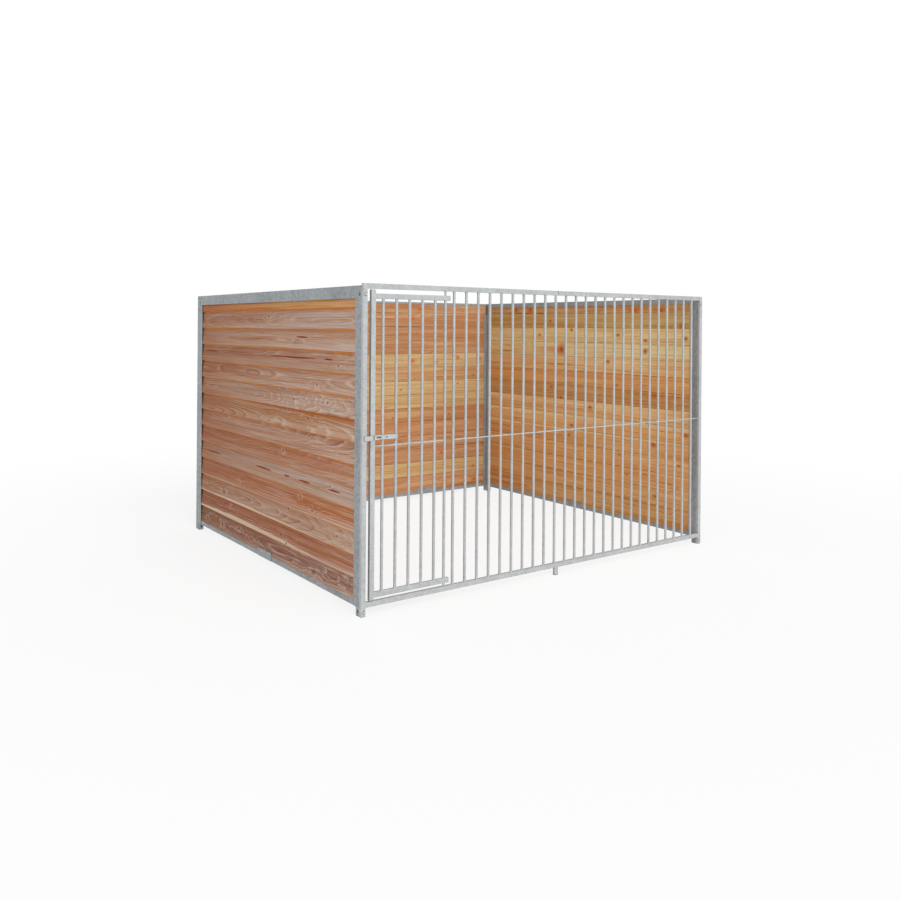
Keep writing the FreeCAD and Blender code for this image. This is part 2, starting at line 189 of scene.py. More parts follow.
# The next two are painted shade under each board's lip: the first in the tone of unweathered wood, the second
# a deeper painted shadow where a lip stands off the board below.
FRESH_WOOD_AND_LIP_SHADE = srgb(232, 138, 46)
LIP_GAP_SHADOW = srgb(190, 102, 36)
SAPWOOD = srgb(214, 192, 170)
KNOT_RED = srgb(204, 114, 50)
KNOT_CORE = srgb(84, 50, 32)
KNOT_BROWN = srgb(174, 92, 34)
RESIN = srgb(176, 92, 44)
# Painted shade with grime in the inside joints.
JOINT_DIRT_AND_SHADE = srgb(92, 58, 34)
CRACK_COLOUR = srgb(154, 68, 16)
# Painted shade with grime in steel crevices and holes.
CREVICE_SHADE_AND_DIRT = srgb(66, 66, 64)

# Tints that a colour is multiplied by.
LATEWOOD = (0.74, 0.46, 0.26, 1.0)
HEARTWOOD = (0.93, 0.77, 0.58, 1.0)
FIBRE_SHADE = (0.78, 0.70, 0.64, 1.0)
STREAK_SHADE = (0.76, 0.58, 0.42, 1.0)
OUTER_EXPOSED = (1.20, 1.42, 1.62, 1.0)
OUTER_SHELTERED = (0.74, 0.58, 0.43, 1.0)
INNER_EXPOSED = (1.16, 1.24, 1.30, 1.0)
INNER_SHELTERED = (0.92, 0.98, 1.03, 1.0)

# Shares, scales per metre and bumps of the timber.
LANE_SPREAD = 37.0
LOW_EDGE_PALE_SHARE = 0.30
SAPWOOD_SHARE = 0.9
LIP_SHADE_SHARE = 0.92
STRIP_SHARE = 0.85
KNOT_EDGE_SCALE = (110.0, 150.0)
KNOT_FEATHER_SCALE = (95.0, 40.0)
FLOW_STRETCH = 0.3
SWELL_BASE = 2.718
SWELL_FALL = -0.09
SWELL_HEIGHT = 0.02
WOOD_SPECULAR = 0.3
LATE_BUMP = -0.6
FIBRE_BUMP = 0.5
WOOD_BUMP = (0.35, 0.0006)

# Zinc: each slot's dark and light colour, crystal size in metres, metallic share and roughness. Then the
# scales per metre and shares of its patches, and the amounts of light colour that are roughest and smoothest.
ZINC = {
    "galvanised_tube": ((0.36, 0.38, 0.39, 1.0), (0.57, 0.59, 0.595, 1.0), 0.006, 0.3, 0.42),
    # The sheet's colours are darker than the tube's, partly real and partly painted shade of sheet faces
    # turned from the light.
    "galvanised_sheet": ((0.20, 0.225, 0.24, 1.0), (0.42, 0.45, 0.47, 1.0), 0.010, 0.25, 0.44),
    "zinc_hardware": ((0.42, 0.44, 0.45, 1.0), (0.60, 0.61, 0.61, 1.0), 0.004, 0.4, 0.38),
    "zinc_weld": ((0.14, 0.145, 0.15, 1.0), (0.26, 0.265, 0.27, 1.0), 0.002, 0.3, 0.5),
}
CLOUD_SCALE = 34.0
STAIN_SCALE = 5.0
ZINC_GRAIN_SCALE = 900.0
FACET_SHARE = 0.4
CLOUD_SHARE = 0.4
STAIN_SHARE = 0.2
ZINC_AMOUNTS = (0.1, 0.9)
ZINC_ROUGHER = 0.1
ZINC_SMOOTHER = 0.06
ZINC_BUMP = (0.12, 0.0003)
CREVICE_REACH = 0.012
CREVICE_SAMPLES = 8

# What a value is turned into: the two ends of the value, and what they become.
SPANS = {
    "worn_figure": (0.1, 0.35, 0.0, 1.0),
    "low_edge_pale_height": (0.055, 0.010, 0.0, 1.0),
    "early_by_side": (0.0, 1.0, 0.85, 0.4),
    "fibre_roughness": (0.3, 0.8, 0.58, 0.76),
    "ring_slant": (0.0, 1.0, -0.07, 0.07),
    "late_start": (0.62, 0.9, 0.0, 1.0),
    "late_end": (0.93, 1.0, 1.0, 0.0),
    "early_start": (0.0, 0.06, 0.0, 1.0),
    "early_end": (0.14, 0.36, 1.0, 0.0),
    "figure_at_knot": (1.5, 4.0, 0.8, 0.0),
    "knot_stretch": (0.0, 1.0, 1.0, 1.9),
    "knot_edge": (0.2, 0.8, 0.7, 1.3),
    "knot_halo": (1.0, 3.2, 0.6, 0.0),
    "knot_feather": (0.42, 0.7, 0.0, 1.0),
    "knot_blush": (1.0, 2.6, 0.75, 0.0),
    "knot_core": (0.45, 1.0, 1.0, 0.0),
    "knot_core_share": (0.0, 1.0, 0.95, 0.6),
    "knot_brown": (0.008, 0.014, 0.4, 1.0),
    "knot_large": (0.026, 0.030, 0.0, 1.0),
    "knot_streak_height": (0.3, 1.3, 1.0, 0.0),
    "knot_streak_length": (0.0, 0.5, 0.7, 0.0),
    "sap_edge": (-0.002, 0.003, 0.0, 1.0),
    "sap_present": (0.02, 0.1, 0.0, 1.0),
    # The next three shape the painted shade under each board's lip.
    "under_lip_shade": (BOARD_PITCH - 0.028, BOARD_PITCH, 0.0, 0.2),
    "lip_shadow_edge": (-0.003, 0.002, 0.0, 1.0),
    "lip_shadow_darkening": (0.009, 0.016, 0.0, 1.0),
    "strip_edge": (-0.003, 0.003, 0.0, 1.0),
    # Painted shade with grime in the inside joints.
    "joint_dirt_and_shade": (0.0010, 0.0034, 0.75, 0.0),
    "zinc_patch": (0.3, 0.7, 0.0, 1.0),
    "zinc_grain": (0.3, 0.7, 0.0, 0.12),
    # Painted shade with grime in steel crevices.
    "zinc_crevice_shade_and_dirt": (0.2, 0.75, 0.85, 0.0),
    "floor_lift": (2.6, 6.5, 0.8, 1.0),
}


class Layer(NamedTuple):
    """Noise drawn out along a board: scales per metre along and up it, a lane, and a span as in SPANS."""
    along: float
    up: float
    lane: float
    span: tuple
    detail: float = 2.0
    roughness: float = 0.5


LAYERS = {
    "fibre": Layer(8.0, 330.0, 0.0, (0.35, 0.75, 0.0, 0.5), detail=3.0, roughness=0.65),
    "heart": Layer(0.6, 14.0, 1.0, (0.35, 0.65, 0.0, 1.0), detail=3.0),
    "bands": Layer(0.9, 24.0, 2.0, (0.48, 0.72, 0.0, 0.4), detail=3.0),
    "pith_height": Layer(0.9, 0.0, 3.0, (0.2, 0.8, -0.016, 0.016)),
    "pith_depth": Layer(0.9, 0.0, 4.0, (0.2, 0.8, -0.02, 0.02)),
    "ring_ripple": Layer(3.0, 30.0, 5.0, (0.2, 0.8, -0.0022, 0.0022), detail=3.0),
    "latewood": Layer(0.9, 20.0, 6.0, (0.40, 0.62, 0.1, 1.0), detail=3.0),
    "earlywood": Layer(1.1, 18.0, 7.0, (0.38, 0.62, 0.15, 1.0), detail=3.0),
    "sap_height": Layer(1.1, 0.0, 8.0, (0.3, 0.7, 0.006, 0.034)),
    "strip_height": Layer(2.5, 0.0, 9.0, (0.3, 0.7, 0.75, 1.25)),
    # How strong the painted shade with grime is in each inside joint.
    "dirt_and_shade": Layer(1.3, 0.0, 10.0, (0.35, 0.65, 0.15, 1.0)),
    "streaks": Layer(1.3, 105.0, 11.0, (0.46, 0.68, 0.0, 0.85), detail=4.0, roughness=0.6),
    "resin": Layer(1.8, 46.0, 12.0, (0.66, 0.74, 0.0, 0.7), detail=3.0),
    "bleach": Layer(1.7, 120.0, 13.0, (0.5, 0.68, 0.0, 0.4), detail=4.0, roughness=0.6),
    "loose_rings": Layer(6.0, 42.0, 14.0, (0.25, 0.75, 0.5, 1.5)),
}


class Graph:
    """A material's nodes, with a short call for each kind that the materials below use."""

    def __init__(self, name):
        self.material = bpy.data.materials.new(name)
        self.material.use_nodes = True
        self.tree = self.material.node_tree
        self.shader = self.tree.nodes["Principled BSDF"]
        self.output = self.tree.nodes["Material Output"]

    def put(self, socket, value):
        if isinstance(value, bpy.types.NodeSocket):
            self.tree.links.new(value, socket)
        else:
            socket.default_value = value

    def add(self, kind, inputs=None, **settings):
        node = self.tree.nodes.new(kind)
        for key, value in settings.items():
            setattr(node, key, value)
        for key, value in (inputs or {}).items():
            self.put(node.inputs[key], value)
        return node

    def math(self, operation, *values):
        return self.add("ShaderNodeMath", dict(enumerate(values)), operation=operation).outputs[0]

    def plus(self, first, second):
        return self.math("ADD", first, second)

    def minus(self, first, second):
        return self.math("SUBTRACT", first, second)

    def times(self, first, second):
        return self.math("MULTIPLY", first, second)

    def ratio(self, first, second):
        return self.math("DIVIDE", first, second)

    def distance(self, first, second):
        """The length of a step with these two parts."""
        return self.math("SQRT", self.plus(self.times(first, first), self.times(second, second)))

    def ramp(self, value, low, high, to_low, to_high):
        inputs = {"Value": value, "From Min": low, "From Max": high, "To Min": to_low, "To Max": to_high}
        return self.add("ShaderNodeMapRange", inputs, interpolation_type="SMOOTHSTEP").outputs[0]

    def span(self, value, name):
        return self.ramp(value, *SPANS[name])

    def mix(self, factor, first, second, blend="MIX"):
        inputs = {0: factor, 6: first, 7: second}
        return self.add("ShaderNodeMix", inputs, data_type="RGBA", blend_type=blend).outputs[2]

    def tint(self, factor, colour, tint):
        """A colour on its way, by that factor, to itself multiplied by a tint."""
        return self.mix(factor, colour, self.mix(1.0, colour, tint, "MULTIPLY"))

    def point(self, x, y, z):
        return self.add("ShaderNodeCombineXYZ", {0: x, 1: y, 2: z}).outputs[0]

    def split(self, vector):
        return self.add("ShaderNodeSeparateXYZ", {0: vector}).outputs

    def noise(self, place, scale=1.0, detail=2.0, roughness=0.5):
        inputs = {"Vector": place, "Scale": scale, "Detail": detail, "Roughness": roughness}
        return self.add("ShaderNodeTexNoise", inputs).outputs["Fac"]

    def chance(self, dimensions, inputs):
        """A random value from 0 to 1 for each place or number."""
        return self.add("ShaderNodeTexWhiteNoise", inputs, noise_dimensions=dimensions).outputs["Value"]

    def attribute(self, name):
        return self.add("ShaderNodeAttribute", attribute_name=name).outputs

    def place(self):
        return self.add("ShaderNodeTexCoord").outputs["Object"]

    def bump(self, height, strength, distance):
        inputs = {"Strength": strength, "Distance": distance, "Height": height}
        self.put(self.shader.inputs["Normal"], self.add("ShaderNodeBump", inputs).outputs[0])


class Timber(Graph):
    """Softwood whose boards run along one axis, 0 for X and 1 for Y. Each face carries its board's data."""

    def __init__(self, name, along):
        super().__init__(name)
        place = self.split(self.place())
        self.u, self.z = place[along], place[2]
        self.seed, base, self.sap = self.split(self.attribute("board")["Vector"])
        self.deep, self.inside, self.edge_band = self.split(self.attribute("mark")["Vector"])
        tone = self.attribute("tone")
        self.tone, self.figure = tone["Color"], tone["Alpha"]
        self.outside = self.minus(1.0, self.inside)
        self.rise = self.minus(self.z, base)
        self.far = self.times(self.seed, LANE_SPREAD)
        self.fibre = self.grain("fibre")
        self.knot = Knot(self)
        self.late, self.early = self.rings()
        self.dress_shader()

    def grain(self, name):
        """A layer's noise, different on each board."""
        layer = LAYERS[name]
        spot = self.point(self.times(self.u, layer.along), self.times(self.rise, layer.up),
                          self.plus(self.far, layer.lane))
        return self.noise(spot, detail=layer.detail, roughness=layer.roughness)

    def layer(self, name):
        """A layer's noise, turned into its span."""
        return self.ramp(self.grain(name), *LAYERS[name].span)

    def rings(self):
        """Dark latewood and pale earlywood lines, round a pith that the board crosses at a slant.

        They turn aside at knots.
        """
        pith_height, pith_depth, ring_width = self.split(self.attribute("pith")["Vector"])
        slant = self.span(self.chance("1D", {"W": self.seed}), "ring_slant")
        across = self.minus(self.minus(self.rise, pith_height), self.layer("pith_height"))
        down = self.plus(self.plus(pith_depth, self.times(slant, self.u)), self.layer("pith_depth"))
        radius = self.plus(self.distance(across, down), self.layer("ring_ripple"))
        loose = self.times(self.knot.flow, self.layer("loose_rings"))
        swell = self.math("POWER", SWELL_BASE, self.times(self.times(loose, loose), SWELL_FALL))
        radius = self.plus(radius, self.times(swell, SWELL_HEIGHT))
        ring = self.math("FRACT", self.ratio(radius, ring_width))
        late = self.times(self.span(ring, "late_start"), self.span(ring, "late_end"))
        early = self.times(self.span(ring, "early_start"), self.span(ring, "early_end"))
        late = self.times(late, self.layer("latewood"))
        early = self.times(early, self.layer("earlywood"))
        figure = self.math("MAXIMUM", self.figure, self.span(loose, "figure_at_knot"))
        return self.times(late, figure), self.times(early, figure)

    def wood(self):
        """The board's tone with heartwood, rings, streaks, bleached lines, fibres and resin."""
        heart = self.mix(1.0, self.tone, HEARTWOOD, "MULTIPLY")
        colour = self.mix(self.layer("heart"), self.tone, heart)
        pale = self.mix(self.inside, EARLYWOOD, PALE_GRAIN)
        worn = self.span(self.figure, "worn_figure")
        worn_outside = self.times(self.outside, worn)
        colour = self.mix(self.times(self.layer("bands"), worn), colour, pale)
        # Paler towards each board's lower edge on the outside.
        paler_low = self.times(self.span(self.rise, "low_edge_pale_height"), worn_outside)
        colour = self.mix(self.times(paler_low, LOW_EDGE_PALE_SHARE), colour, EARLYWOOD)
        colour = self.mix(self.times(self.early, self.span(self.inside, "early_by_side")), colour, pale)
        colour = self.tint(self.late, colour, LATEWOOD)
        colour = self.tint(self.layer("streaks"), colour, STREAK_SHADE)
        colour = self.mix(self.times(self.layer("bleach"), worn_outside), colour, EARLYWOOD)
        colour = self.tint(self.ramp(self.fibre, *LAYERS["fibre"].span), colour, FIBRE_SHADE)
        return self.mix(self.times(self.layer("resin"), self.inside), colour, RESIN)

    def weather(self, colour):
        """Paler where the board is exposed, darker where it is sheltered."""
        wear = self.attribute("wear")["Fac"]
        outer = self.mix(wear, OUTER_SHELTERED, OUTER_EXPOSED)
        inner = self.mix(wear, INNER_SHELTERED, INNER_EXPOSED)
        return self.mix(1.0, colour, self.mix(self.inside, outer, inner), "MULTIPLY")

    def lower_edge(self, colour):
        """Pale sapwood along a board's lower edge, of uneven height."""
        over = self.minus(self.times(self.sap, self.layer("sap_height")), self.rise)
        pale = self.times(self.span(over, "sap_edge"), self.span(self.sap, "sap_present"))
        return self.mix(self.times(pale, SAPWOOD_SHARE), colour, SAPWOOD)

    def upper_edge(self, colour):
        """Painted shade under the lip above on the outside, in the tone of unweathered wood and darker where
        the lip stands off; a pale strip on the inside.
        """
        # Painted shade, in the tone of unweathered wood, growing towards the lip above.
        lip = self.times(self.span(self.rise, "under_lip_shade"), self.outside)
        colour = self.mix(lip, colour, FRESH_WOOD_AND_LIP_SHADE)
        # A painted shadow line under the lip, darker where it is wide.
        height = self.times(self.edge_band, self.layer("strip_height"))
        over = self.minus(self.rise, self.minus(BOARD_PITCH, height))
        band = self.times(self.span(over, "lip_shadow_edge"), self.outside)
        shade = self.mix(self.span(self.edge_band, "lip_shadow_darkening"), FRESH_WOOD_AND_LIP_SHADE, LIP_GAP_SHADOW)
        colour = self.mix(self.times(band, LIP_SHADE_SHARE), colour, shade)
        over = self.minus(self.rise, self.minus(BOARD_HEIGHT, height))
        strip = self.times(self.span(over, "strip_edge"), self.inside)
        strip = self.times(strip, self.math("GREATER_THAN", self.edge_band, 0.0))
        return self.mix(self.times(strip, STRIP_SHARE), colour, PALE_GRAIN)

    def joint_dirt_and_shade(self, colour):
        """Painted shade with grime in the joints on the inside."""
        low = self.math("ABSOLUTE", self.minus(self.rise, REBATE_HEIGHT))
        high = self.math("ABSOLUTE", self.minus(self.rise, BOARD_HEIGHT))
        dirt_and_shade = self.times(self.span(self.math("MINIMUM", low, high), "joint_dirt_and_shade"), self.inside)
        return self.mix(self.times(dirt_and_shade, self.layer("dirt_and_shade")), colour, JOINT_DIRT_AND_SHADE)

    def dress_shader(self):
        colour = self.lower_edge(self.weather(self.wood()))
        colour = self.joint_dirt_and_shade(self.upper_edge(self.knot.paint(colour)))
        self.put(self.shader.inputs["Base Color"], self.mix(self.deep, colour, CRACK_COLOUR))
        self.put(self.shader.inputs["Roughness"], self.span(self.fibre, "fibre_roughness"))
        self.shader.inputs["Specular IOR Level"].default_value = WOOD_SPECULAR
        height = self.plus(self.times(self.late, LATE_BUMP), self.times(self.fibre, FIBRE_BUMP))
        self.bump(height, *WOOD_BUMP)


class Knot:
    """The knot nearest to a spot of a timber: how far off it is, in its own radius, and its colours."""

    def __init__(self, timber):
        self.timber = timber
        place = timber.attribute("knot")["Vector"]
        middle_u, middle_z, self.radius = timber.split(place)
        self.chance = timber.chance("3D", {"Vector": place})
        self.beside = timber.minus(timber.u, middle_u)
        self.over = timber.minus(timber.z, middle_z)
        wide = timber.ratio(self.beside, timber.span(self.chance, "knot_stretch"))
        off = timber.distance(wide, self.over)
        edge = timber.span(self.mottle(KNOT_EDGE_SCALE, 1.0), "knot_edge")
        self.reach = timber.ratio(timber.times(off, edge), self.radius)
        self.feather = timber.span(self.mottle(KNOT_FEATHER_SCALE, 2.0), "knot_feather")
        flow = timber.distance(timber.times(self.beside, FLOW_STRETCH), self.over)
        self.flow = timber.ratio(flow, self.radius)

    def mottle(self, scale, detail):
        timber = self.timber
        spot = timber.point(timber.times(timber.u, scale[0]), timber.times(timber.z, scale[1]), timber.far)
        return timber.noise(spot, detail=detail)

    def streak(self):
        """How red the wood behind a large knot is, on the inside."""
        timber = self.timber
        height = timber.ratio(timber.math("ABSOLUTE", self.over), self.radius)
        streak = timber.times(timber.span(height, "knot_streak_height"),
                              timber.span(self.beside, "knot_streak_length"))
        streak = timber.times(streak, timber.math("GREATER_THAN", self.beside, 0.0))
        large = timber.times(timber.span(self.radius, "knot_large"), timber.inside)
        return timber.times(streak, large)

    def paint(self, colour):
        """A pale swirl outside; a red streak and ring inside; a core on both, which is browner inside."""
        timber = self.timber
        colour = timber.mix(self.streak(), colour, KNOT_RED)
        halo = timber.times(timber.span(self.reach, "knot_halo"), self.feather)
        colour = timber.mix(timber.times(halo, timber.outside), colour, SAPWOOD)
        blush = timber.times(timber.span(self.reach, "knot_blush"), timber.inside)
        colour = timber.mix(blush, colour, KNOT_RED)
        core = timber.times(timber.span(self.reach, "knot_core"), timber.span(self.chance, "knot_core_share"))
        brown = timber.times(timber.span(self.radius, "knot_brown"), timber.inside)
        return timber.mix(core, colour, timber.mix(brown, KNOT_CORE, KNOT_BROWN))


def zinc(name, dark, light, cell, metallic, rough):
    """Hot-dip zinc: crystals of one size, soft cloudy patches, fine grain, and painted shade with grime where
    pieces meet and in holes.
    """
    g = Graph(name)
    place = g.place()
    crystal = g.add("ShaderNodeTexVoronoi", {"Vector": place, "Scale": 1.0 / cell, "Randomness": 1.0})
    facet = g.split(crystal.outputs["Color"])[0]
    cloud = g.span(g.noise(place, CLOUD_SCALE, detail=4.0, roughness=0.65), "zinc_patch")
    stain = g.span(g.noise(place, STAIN_SCALE), "zinc_patch")
    grain = g.noise(place, ZINC_GRAIN_SCALE)
    amount = g.plus(g.times(facet, FACET_SHARE), g.times(cloud, CLOUD_SHARE))
    amount = g.plus(amount, g.times(stain, STAIN_SHARE))
    colour = g.mix(amount, dark, light)
    colour = g.mix(g.span(grain, "zinc_grain"), colour, dark)
    # Painted shade with grime in crevices and holes, from ambient occlusion.
    crevice = g.add("ShaderNodeAmbientOcclusion", {"Distance": CREVICE_REACH}, samples=CREVICE_SAMPLES)
    dirt_and_shade = g.span(crevice.outputs["AO"], "zinc_crevice_shade_and_dirt")
    g.put(g.shader.inputs["Base Color"], g.mix(dirt_and_shade, colour, CREVICE_SHADE_AND_DIRT))
    roughness = g.ramp(amount, *ZINC_AMOUNTS, rough + ZINC_ROUGHER, rough - ZINC_SMOOTHER)
    g.put(g.shader.inputs["Roughness"], roughness)
    g.shader.inputs["Metallic"].default_value = metallic
    g.bump(g.plus(facet, grain), *ZINC_BUMP)
    return g.material


def floor_material():
    """White floor that keeps its shadow near the object and fades to the backdrop's white further off."""
    g = Graph("studio_floor")
    g.tree.nodes.remove(g.shader)
    x, y, _ = g.split(g.place())
    lift = g.span(g.distance(x, y), "floor_lift")
    path = g.add("ShaderNodeLightPath").outputs
    seen = g.math("MAXIMUM", path["Is Camera Ray"], path["Is Glossy Ray"])
    seen = g.math("MAXIMUM", seen, path["Is Transmission Ray"])
    matt = g.add("ShaderNodeBsdfDiffuse", {"Color": FLOOR_COLOUR}).outputs[0]
    glow = g.add("ShaderNodeEmission", {"Color": WHITE, "Strength": 1.0}).outputs[0]
    both = g.add("ShaderNodeMixShader", {0: g.times(lift, seen), 1: matt, 2: glow}).outputs[0]
    g.put(g.output.inputs["Surface"], both)
    return g.material


def mesh_object(name, points, faces):
    """A smooth mesh with its normals outwards, linked to the scene."""
    mesh = bpy.data.meshes.new(name)
    mesh.from_pydata(points, [], faces)
    shell = bmesh.new()
    shell.from_mesh(mesh)
    bmesh.ops.recalc_face_normals(shell, faces=shell.faces)
    shell.to_mesh(mesh)
    shell.free()
    mesh.polygons.foreach_set("use_smooth", [True] * len(mesh.polygons))
    mesh.set_sharp_from_angle(angle=SMOOTH_ANGLE)
    piece = bpy.data.objects.new(name, mesh)
    bpy.context.scene.collection.objects.link(piece)
    return piece


def dress(piece, material, body, slot, *replaced):
    """Gives a piece its material, its body and the CAD nodes that it stands for. The slot is not used."""
    piece.data.materials.clear()
    piece.data.materials.append(material)
    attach(piece, body)
    if replaced:
        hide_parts(*replaced)


class Panel:
    """One wood panel: where its boards run, and which way is out."""

    def __init__(self, node, along, out):
        low, high = (Vector(corner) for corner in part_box(node))
        self.node = node
        self.along = along
        self.out = out
        self.start = low[along]
        self.length = high[along] - low[along]
        self.inner = low[1 - along] if out > 0 else high[1 - along]
        self.base = low.z
        self.top = high.z
        self.count = math.ceil((self.top - self.base - REBATE_HEIGHT) / BOARD_PITCH)

    def point(self, u, depth, z):
        place = [0.0, 0.0, z]
        place[self.along] = self.start + u
        place[1 - self.along] = self.inner + self.out * depth
        return place


class Look(NamedTuple):
    """A board's looks: tones, strength of its figure, knots, cracks, sapwood, its strip of painted shade
    under the lip and its pale inside strip.
    """
    outside: str
    inside: str
    figure: float
    knots: tuple
    cracks: tuple
    sap: float
    edge_band: tuple
    strip: float


# Where a board's pith lies from its lip, how far that strays, how deep it lies, and how wide its rings are.
PITH_HEIGHTS = {"outer": (0.02, 0.07, 0.12, -0.06), "inner": (-0.1, 0.25)}
PITH_STRAY = {"outer": 0.02, "inner": 0.05}
PITH_DEPTHS = {"outer": (0.03, 0.08), "inner": (0.02, 0.07)}
RING_WIDTHS = {"outer": (0.010, 0.016), "inner": (0.009, 0.014)}
INSIDE_FIGURE = (0.5, 1.0)
TONE_LIFT = (0.95, 1.05)
TONE_WARMTH = (0.97, 1.03)
BACK_WEAR = {"outer": 0.5, "inner": 0.15}


def shade(name, figure, rng):
    """A board's own tint of a named tone, with the strength of its figure as alpha."""
    lift = rng.uniform(*TONE_LIFT)
    warm = rng.uniform(*TONE_WARMTH)
    red, green, blue, _ = TONES[name]
    return (red * lift * warm, green * lift, blue * lift / warm, figure)


def random_pith(side, rng):
    """A pith's height and depth from the board's lip, and the width of its rings."""
    height = rng.choice(PITH_HEIGHTS[side]) + rng.uniform(-PITH_STRAY[side], PITH_STRAY[side])
    return (height, rng.uniform(*PITH_DEPTHS[side]), rng.uniform(*RING_WIDTHS[side]))


class Board:
    """One weatherboard of a panel, all in metres."""

    def __init__(self, panel, index, rng, look):
        self.panel = panel
        self.index = index
        self.look = look
        self.cracks = look.cracks
        self.base = panel.base + index * BOARD_PITCH
        self.height = min(BOARD_HEIGHT, panel.top - self.base)
        self.seed = rng.random()
        self.tones = {"outer": shade(look.outside, look.figure, rng),
                      "inner": shade(look.inside, rng.uniform(*INSIDE_FIGURE), rng)}
        self.piths = {side: random_pith(side, rng) for side in ("outer", "inner")}
        free = 0 < index < panel.count - 1
        self.bow = rng.uniform(*BOW_RANGE) * LIP_BOW if free else 0.0
        self.wave = LIP_WAVE if free else 0.0

    def thickness(self, height):
        return BOARD_THICKNESS + (BOARD_TOP_THICKNESS - BOARD_THICKNESS) * height / BOARD_HEIGHT

    def corners(self):
        """The section's corners, each with the name of the side that leaves it."""
        tip = [(BOARD_THICKNESS, 0.0, "outer"), (self.thickness(self.height), self.height, "inner"),
               (0.0, self.height, "inner")]
        if self.index == 0:
            return [(0.0, 0.0, "inner")] + tip
        rebate = [(0.0, REBATE_HEIGHT, "inner"), (REBATE_DEPTH, REBATE_HEIGHT, "inner")]
        return [(REBATE_DEPTH, 0.0, "outer")] + tip + rebate

    def rows(self):
        """The rounded section as rows of (depth, height, side, part of a crack or 0)."""
        corners = self.corners()
        rows = []
        for number, (depth, height, side) in enumerate(corners):
            here = Vector((depth, height))
            lead = Vector(corners[number - 1][:2]) - here
            tail = Vector(corners[(number + 1) % len(corners)][:2]) - here
            radius = LIP_RADIUS if depth else JOINT_RADIUS
            start = here + lead.normalized() * radius
            end = here + tail.normalized() * radius
            for share in ROUNDING_STEPS:
                spot = start.lerp(here, share).lerp(here.lerp(end, share), share)
                rows.append((spot.x, spot.y, side, 0))
            if depth == BOARD_THICKNESS:
                rows += self.face_rows()
        return rows

    def face_rows(self):
        """Rows across the outer face: the two lips and the groove of its cracks, or else plain ones."""
        if not self.cracks:
            heights = [self.height * share for share in FACE_STEPS]
            return [(self.thickness(height), height, "outer", 0) for height in heights]
        line = self.cracks[0][2]
        rows = []
        for offset, part in ((-CRACK_REST, LOWER_LIP), (0.0, GROOVE), (CRACK_REST, UPPER_LIP)):
            rows.append((self.thickness(line + offset), line + offset, "outer", part))
        return rows

    def stations(self):
        """Places along the board, closer together on its cracks."""
        length = self.panel.length
        count = max(LEAST_STATIONS, round(length / STATION_STEP))
        places = {round(length * step / count, STATION_DIGITS) for step in range(count + 1)}
        for start, end, _ in self.cracks:
            steps = [(end - start) * step / CRACK_STEPS for step in range(CRACK_STEPS + 1)]
            places |= {round(start + step, STATION_DIGITS) for step in steps}
        return sorted(places)

    def split_at(self, u):
        """How far a crack is open at one station, from 0 to 1."""
        for start, end, _ in self.cracks:
            if start < u < end:
                return math.sin(math.pi * (u - start) / (end - start)) ** CRACK_BLUNTNESS
        return 0.0

    def drift(self, u, lane):
        return noise.noise(Vector((u * DRIFT_SCALE, self.seed * DRIFT_SPREAD, lane)))

    def spot(self, u, row):
        """A row's place at one station, with the board's bow, the lip's wave and the crack's opening."""
        depth, height, _, part = row
        fade = math.sin(math.pi * min(max(u / self.panel.length, 0.0), 1.0)) ** END_BLUNTNESS
        low = 1.0 - height / self.height
        depth += fade * low * (self.bow * (BOW_DRIFT[0] + BOW_DRIFT[1] * self.drift(u, BOW_LANE)))
        if height < LIP_RADIUS:
            height += fade * self.wave * self.drift(u * WAVE_SCALE, WAVE_LANE)
        if part:
            gap = self.split_at(u)
            height += CRACK_STRAY * self.drift(u * CRACK_SCALE, CRACK_LANE)
            if part == GROOVE:
                depth -= CRACK_DEPTH * gap
            else:
                height += part * CRACK_WIDTH / 2 * gap
        return self.panel.point(u, depth, self.base + height)

    def strip_at(self, u, side):
        """The height of the inside's pale strip, or of the outside's painted shade under the lip, which may
        widen.
        """
        if side == "inner":
            return self.look.strip
        front, back = self.look.edge_band
        return front + (back - front) * u / self.panel.length

    def wear_at(self, u, side):
        """From 0, sheltered, to 1, exposed: a side wall is most exposed at its front end."""
        return BACK_WEAR[side] if self.panel.along == 0 else 1.0 - u / self.panel.length

    def face_data(self, u, side, deep):
        """What a face at one station carries for the timber material."""
        knot = min(self.look.knots, key=lambda spot: abs(spot[0] - u))
        return {"board": (self.seed, self.base, self.look.sap),
                "pith": self.piths[side],
                "knot": (self.panel.start + knot[0], self.base + knot[1], knot[2]),
                "tone": self.tones[side],
                "mark": (deep, float(side == "inner"), self.strip_at(u, side)),
                "wear": (self.wear_at(u, side),)}


FACE_LAYERS = (("board", "FLOAT_VECTOR", "vector"), ("pith", "FLOAT_VECTOR", "vector"),
               ("knot", "FLOAT_VECTOR", "vector"), ("tone", "FLOAT_COLOR", "color"),
               ("mark", "FLOAT_VECTOR", "vector"), ("wear", "FLOAT", "value"))


def strip_faces(first, size, count):
    """Faces between closed rings of points that follow each other, ring by ring."""
    faces = []
    for step in range(count - 1):
        start = first + step * size
        for number in range(size):
            after = (number + 1) % size
            faces.append((start + number, start + after, start + size + after, start + size + number))
    return faces


def end_faces(first, size, count):
    """The two faces that close the ends of such rings."""
    last = first + (count - 1) * size
    return [tuple(range(first, first + size)), tuple(range(last, last + size))]


def board_face_data(board, rows, stations):
    """The data of a board's faces, in the order of strip_faces and end_faces."""
    data = []
    for step, u in enumerate(stations[:-1]):
        middle = (u + stations[step + 1]) / 2
        open_here = board.split_at(middle) > CRACK_SEEN
        for number, row in enumerate(rows):
            groove = GROOVE in (row[3], rows[(number + 1) % len(rows)][3])
            data.append(board.face_data(middle, row[2], float(groove and open_here)))
    data.append(board.face_data(0.0, "outer", 0.0))
    data.append(board.face_data(board.panel.length, "outer", 0.0))
    return data


